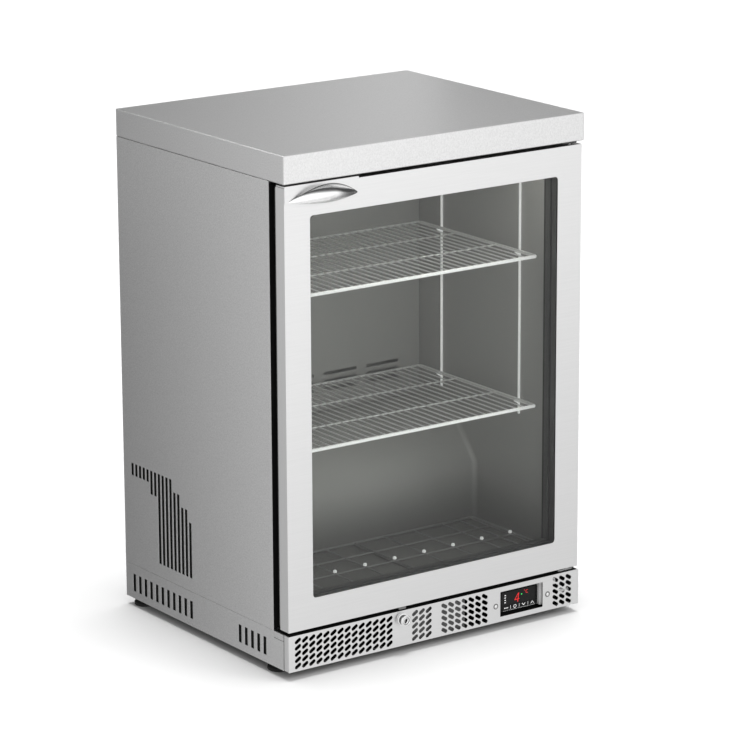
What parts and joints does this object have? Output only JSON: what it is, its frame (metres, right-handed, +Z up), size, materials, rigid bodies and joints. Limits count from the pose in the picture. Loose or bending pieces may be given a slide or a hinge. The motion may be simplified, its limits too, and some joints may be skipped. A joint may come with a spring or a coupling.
{
  "type": "under counter fridge",
  "caption": "Under counter bar fridge with a hinged double-glazed door, wire shelves, a steel case with a flat worktop, and a perforated plinth holding a lock and a temperature controller.",
  "frame": {"origin": "centre of the bounding box in plan, on the floor under the feet", "axes": "+X to the right seen from the front, +Y to the back, +Z up; the door faces -Y"},
  "size_m": [0.6, 0.517, 0.865],
  "materials": {
    "brushed_steel": "satin",
    "door_steel": "satin",
    "galvanised_steel": "satin",
    "foam_insulation": "matte",
    "liner_aluminium": "satin",
    "black_plastic": "matte",
    "fan_plastic": "matte",
    "display_plastic": "gloss",
    "key_rubber": "matte",
    "grey_plastic": "matte",
    "white_plastic": "satin",
    "gasket_rubber": "matte",
    "foot_rubber": "matte",
    "clear_glass": "gloss",
    "spacer_aluminium": "satin",
    "handle_chrome": "polished",
    "lock_chrome": "polished",
    "shelf_chrome": "gloss",
    "plated_steel": "satin",
    "black_enamel": "gloss",
    "copper_tube": "satin",
    "coil_aluminium": "satin"
  },
  "bodies": {
    "cabinet": {"worktop": "brushed_steel", "worktop_core": "foam_insulation", "top_panel": "galvanised_steel", "side_panel_left": "brushed_steel", "side_panel_right": "brushed_steel", "back_panel": "galvanised_steel", "rear_cover": "galvanised_steel", "case_floor": "galvanised_steel", "base_tray": "brushed_steel", "grille_panel": "brushed_steel", "insulation": "foam_insulation", "liner": "liner_aluminium", "breaker_strip": "black_plastic", "shelf_strip_front_left": "white_plastic", "shelf_strip_front_right": "white_plastic", "shelf_strip_rear_left": "white_plastic", "shelf_strip_rear_right": "white_plastic", "evaporator_cover": "liner_aluminium", "evaporator_coil": "coil_aluminium", "evaporator_fan_motor": "fan_plastic", "led_strip": "white_plastic", "compressor": "black_enamel", "condenser": "black_enamel", "condenser_fan_motor": "black_enamel", "filter_drier": "copper_tube", "discharge_pipe": "copper_tube", "suction_pipe": "copper_tube", "drip_tray": "black_plastic", "electrical_box": "grey_plastic", "power_inlet": "black_plastic", "controller_body": "black_plastic", "controller_face": "display_plastic", "controller_bracket": "grey_plastic", "lock_body": "lock_chrome", "hinge_bracket_top": "plated_steel", "hinge_bracket_bottom": "plated_steel"},
    "door": {"door_frame": "door_steel", "door_inner_frame": "black_plastic", "glass_outer": "clear_glass", "glass_inner": "clear_glass", "glass_spacer": "spacer_aluminium", "door_gasket": "gasket_rubber", "door_catch": "plated_steel", "handle": "handle_chrome"},
    "lock_plug": {"lock_plug": "lock_chrome"},
    "evaporator_fan": {"evaporator_fan": "fan_plastic"},
    "condenser_fan": {"condenser_fan": "coil_aluminium"},
    "shelf_upper": {"shelf_upper": "shelf_chrome"},
    "shelf_lower": {"shelf_lower": "shelf_chrome"},
    "floor_rack": {"floor_rack": "shelf_chrome"},
    "key_set": {"key_set": "key_rubber"},
    "key_power": {"key_power": "key_rubber"},
    "key_down": {"key_down": "key_rubber"},
    "key_up": {"key_up": "key_rubber"},
    "foot_front_left": {"foot_front_left": "foot_rubber"},
    "foot_front_right": {"foot_front_right": "foot_rubber"},
    "foot_rear_left": {"foot_rear_left": "foot_rubber"},
    "foot_rear_right": {"foot_rear_right": "foot_rubber"}
  },
  "joints": [
    {"name": "door_hinge", "type": "hinge", "parent": "cabinet", "child": "door", "pos_m": [0.279, -0.2225, 0.44], "axis": [0, 0, 1], "range_deg": [0, 110]},
    {"name": "lock_turn", "type": "hinge", "parent": "cabinet", "child": "lock_plug", "pos_m": [-0.073, -0.2365, 0.061], "axis": [0, -1, 0], "range_deg": [0, 90]},
    {"name": "evaporator_fan_spin", "type": "hinge", "parent": "cabinet", "child": "evaporator_fan", "pos_m": [0, 0.1805, 0.7], "axis": [0, -1, 0], "continuous": true},
    {"name": "condenser_fan_spin", "type": "hinge", "parent": "cabinet", "child": "condenser_fan", "pos_m": [-0.213, 0.1415, 0.112], "axis": [1, 0, 0], "continuous": true},
    {"name": "shelf_upper_lift", "type": "slide", "parent": "cabinet", "child": "shelf_upper", "axis": [0, 0, 1], "range_m": [0, 0.02]},
    {"name": "shelf_lower_lift", "type": "slide", "parent": "cabinet", "child": "shelf_lower", "axis": [0, 0, 1], "range_m": [0, 0.02]},
    {"name": "floor_rack_lift", "type": "slide", "parent": "cabinet", "child": "floor_rack", "axis": [0, 0, 1], "range_m": [0, 0.02]},
    {"name": "key_set_press", "type": "slide", "parent": "cabinet", "child": "key_set", "axis": [0, 1, 0], "range_m": [0, 0.0006], "stiffness_N_per_m": 800, "springref_m": -0.0004},
    {"name": "key_power_press", "type": "slide", "parent": "cabinet", "child": "key_power", "axis": [0, 1, 0], "range_m": [0, 0.0006], "stiffness_N_per_m": 800, "springref_m": -0.0004},
    {"name": "key_down_press", "type": "slide", "parent": "cabinet", "child": "key_down", "axis": [0, 1, 0], "range_m": [0, 0.0006], "stiffness_N_per_m": 800, "springref_m": -0.0004},
    {"name": "key_up_press", "type": "slide", "parent": "cabinet", "child": "key_up", "axis": [0, 1, 0], "range_m": [0, 0.0006], "stiffness_N_per_m": 800, "springref_m": -0.0004},
    {"name": "foot_front_left_adjust", "type": "slide", "parent": "cabinet", "child": "foot_front_left", "axis": [0, 0, -1], "range_m": [0, 0.01]},
    {"name": "foot_front_right_adjust", "type": "slide", "parent": "cabinet", "child": "foot_front_right", "axis": [0, 0, -1], "range_m": [0, 0.01]},
    {"name": "foot_rear_left_adjust", "type": "slide", "parent": "cabinet", "child": "foot_rear_left", "axis": [0, 0, -1], "range_m": [0, 0.01]},
    {"name": "foot_rear_right_adjust", "type": "slide", "parent": "cabinet", "child": "foot_rear_right", "axis": [0, 0, -1], "range_m": [0, 0.01]}
  ]
}
